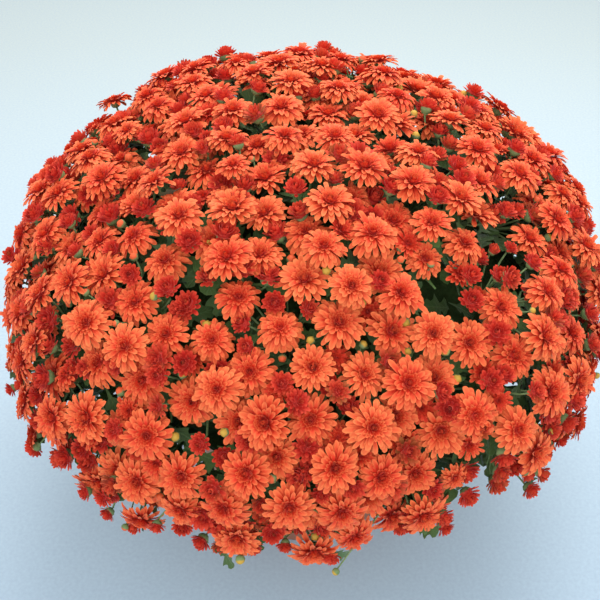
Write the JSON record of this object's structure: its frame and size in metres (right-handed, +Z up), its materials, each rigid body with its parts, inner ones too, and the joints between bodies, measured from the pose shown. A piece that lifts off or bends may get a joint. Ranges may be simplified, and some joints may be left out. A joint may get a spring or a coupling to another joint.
{
  "type": "pot chrysanthemum",
  "caption": "Bushy florist's or garden chrysanthemum in full bloom: a low dome of small double flowers and half-open buds over lobed leaves, in a plain round pot.",
  "frame": {"origin": "middle of the pot's flat base, where the plant rests", "axes": "+Z up; -Y towards the viewer of the picture; X to the viewer's right"},
  "size_m": [0.5748, 0.5937, 0.4918],
  "materials": {
    "pot": "matt moulded plastic",
    "soil": "moist peat and bark potting mix",
    "leaf": "matt green leaf and stem",
    "petal": "soft matt petal"
  },
  "bodies": {
    "root": {"pot": "pot", "soil": "soil", "leafy_stems": "leaf", "spray_01": "petal", "spray_02": "petal", "spray_03": "petal", "spray_04": "petal", "spray_05": "petal", "spray_06": "petal", "spray_07": "petal", "spray_08": "petal", "spray_09": "petal", "spray_10": "petal", "spray_11": "petal", "spray_12": "petal", "spray_13": "petal", "spray_14": "petal", "spray_15": "petal", "spray_16": "petal", "spray_17": "petal", "spray_18": "petal", "spray_19": "petal", "spray_20": "petal", "spray_21": "petal", "spray_22": "petal", "spray_23": "petal", "spray_24": "petal", "spray_25": "petal", "spray_26": "petal", "spray_27": "petal", "spray_28": "petal", "spray_29": "petal", "spray_30": "petal", "spray_31": "petal", "spray_32": "petal", "spray_33": "petal", "spray_34": "petal", "spray_35": "petal", "spray_36": "petal", "spray_37": "petal", "spray_38": "petal", "spray_39": "petal", "spray_40": "petal", "spray_41": "petal", "spray_42": "petal", "spray_43": "petal", "spray_44": "petal", "spray_45": "petal", "spray_46": "petal", "spray_47": "petal", "spray_48": "petal", "spray_49": "petal", "spray_50": "petal", "spray_51": "petal", "spray_52": "petal", "spray_53": "petal", "spray_54": "petal", "spray_55": "petal", "spray_56": "petal"}
  },
  "joints": []
}
